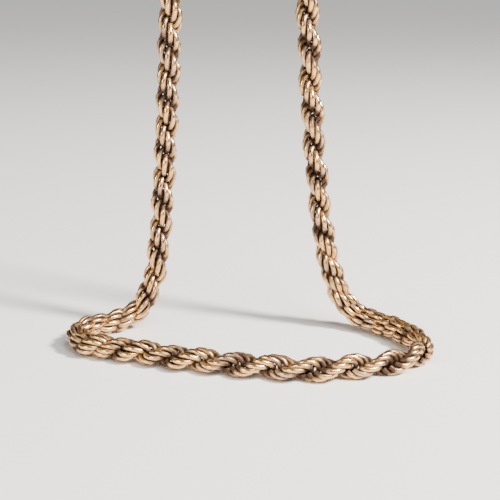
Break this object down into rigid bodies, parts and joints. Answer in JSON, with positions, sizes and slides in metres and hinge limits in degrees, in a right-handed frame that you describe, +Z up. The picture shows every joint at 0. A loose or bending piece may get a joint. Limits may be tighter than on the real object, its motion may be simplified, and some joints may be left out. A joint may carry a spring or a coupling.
{
  "type": "rope chain necklace",
  "caption": "Rope chain necklace: a closed loop of twisted open links, hung from a peg with its lower part lying on a table, closed by one barrel clasp.",
  "frame": {"origin": "middle of the arch's underside at the top of the loop, where a peg, hook or finger carries the hung chain", "axes": "+Z up, +Y away from the viewer and across the flat of the hanging loop, +X to the viewer's right"},
  "size_m": [0.0774, 0.0371, 0.19],
  "materials": {
    "rope_metal": "worn rose-toned polish, with brown tarnish between the links",
    "clasp_metal": "worn rose-toned polish, with brown tarnish in the seam and beads"
  },
  "bodies": {
    "root": {"chain": "rope_metal", "clasp": "clasp_metal"}
  },
  "joints": []
}
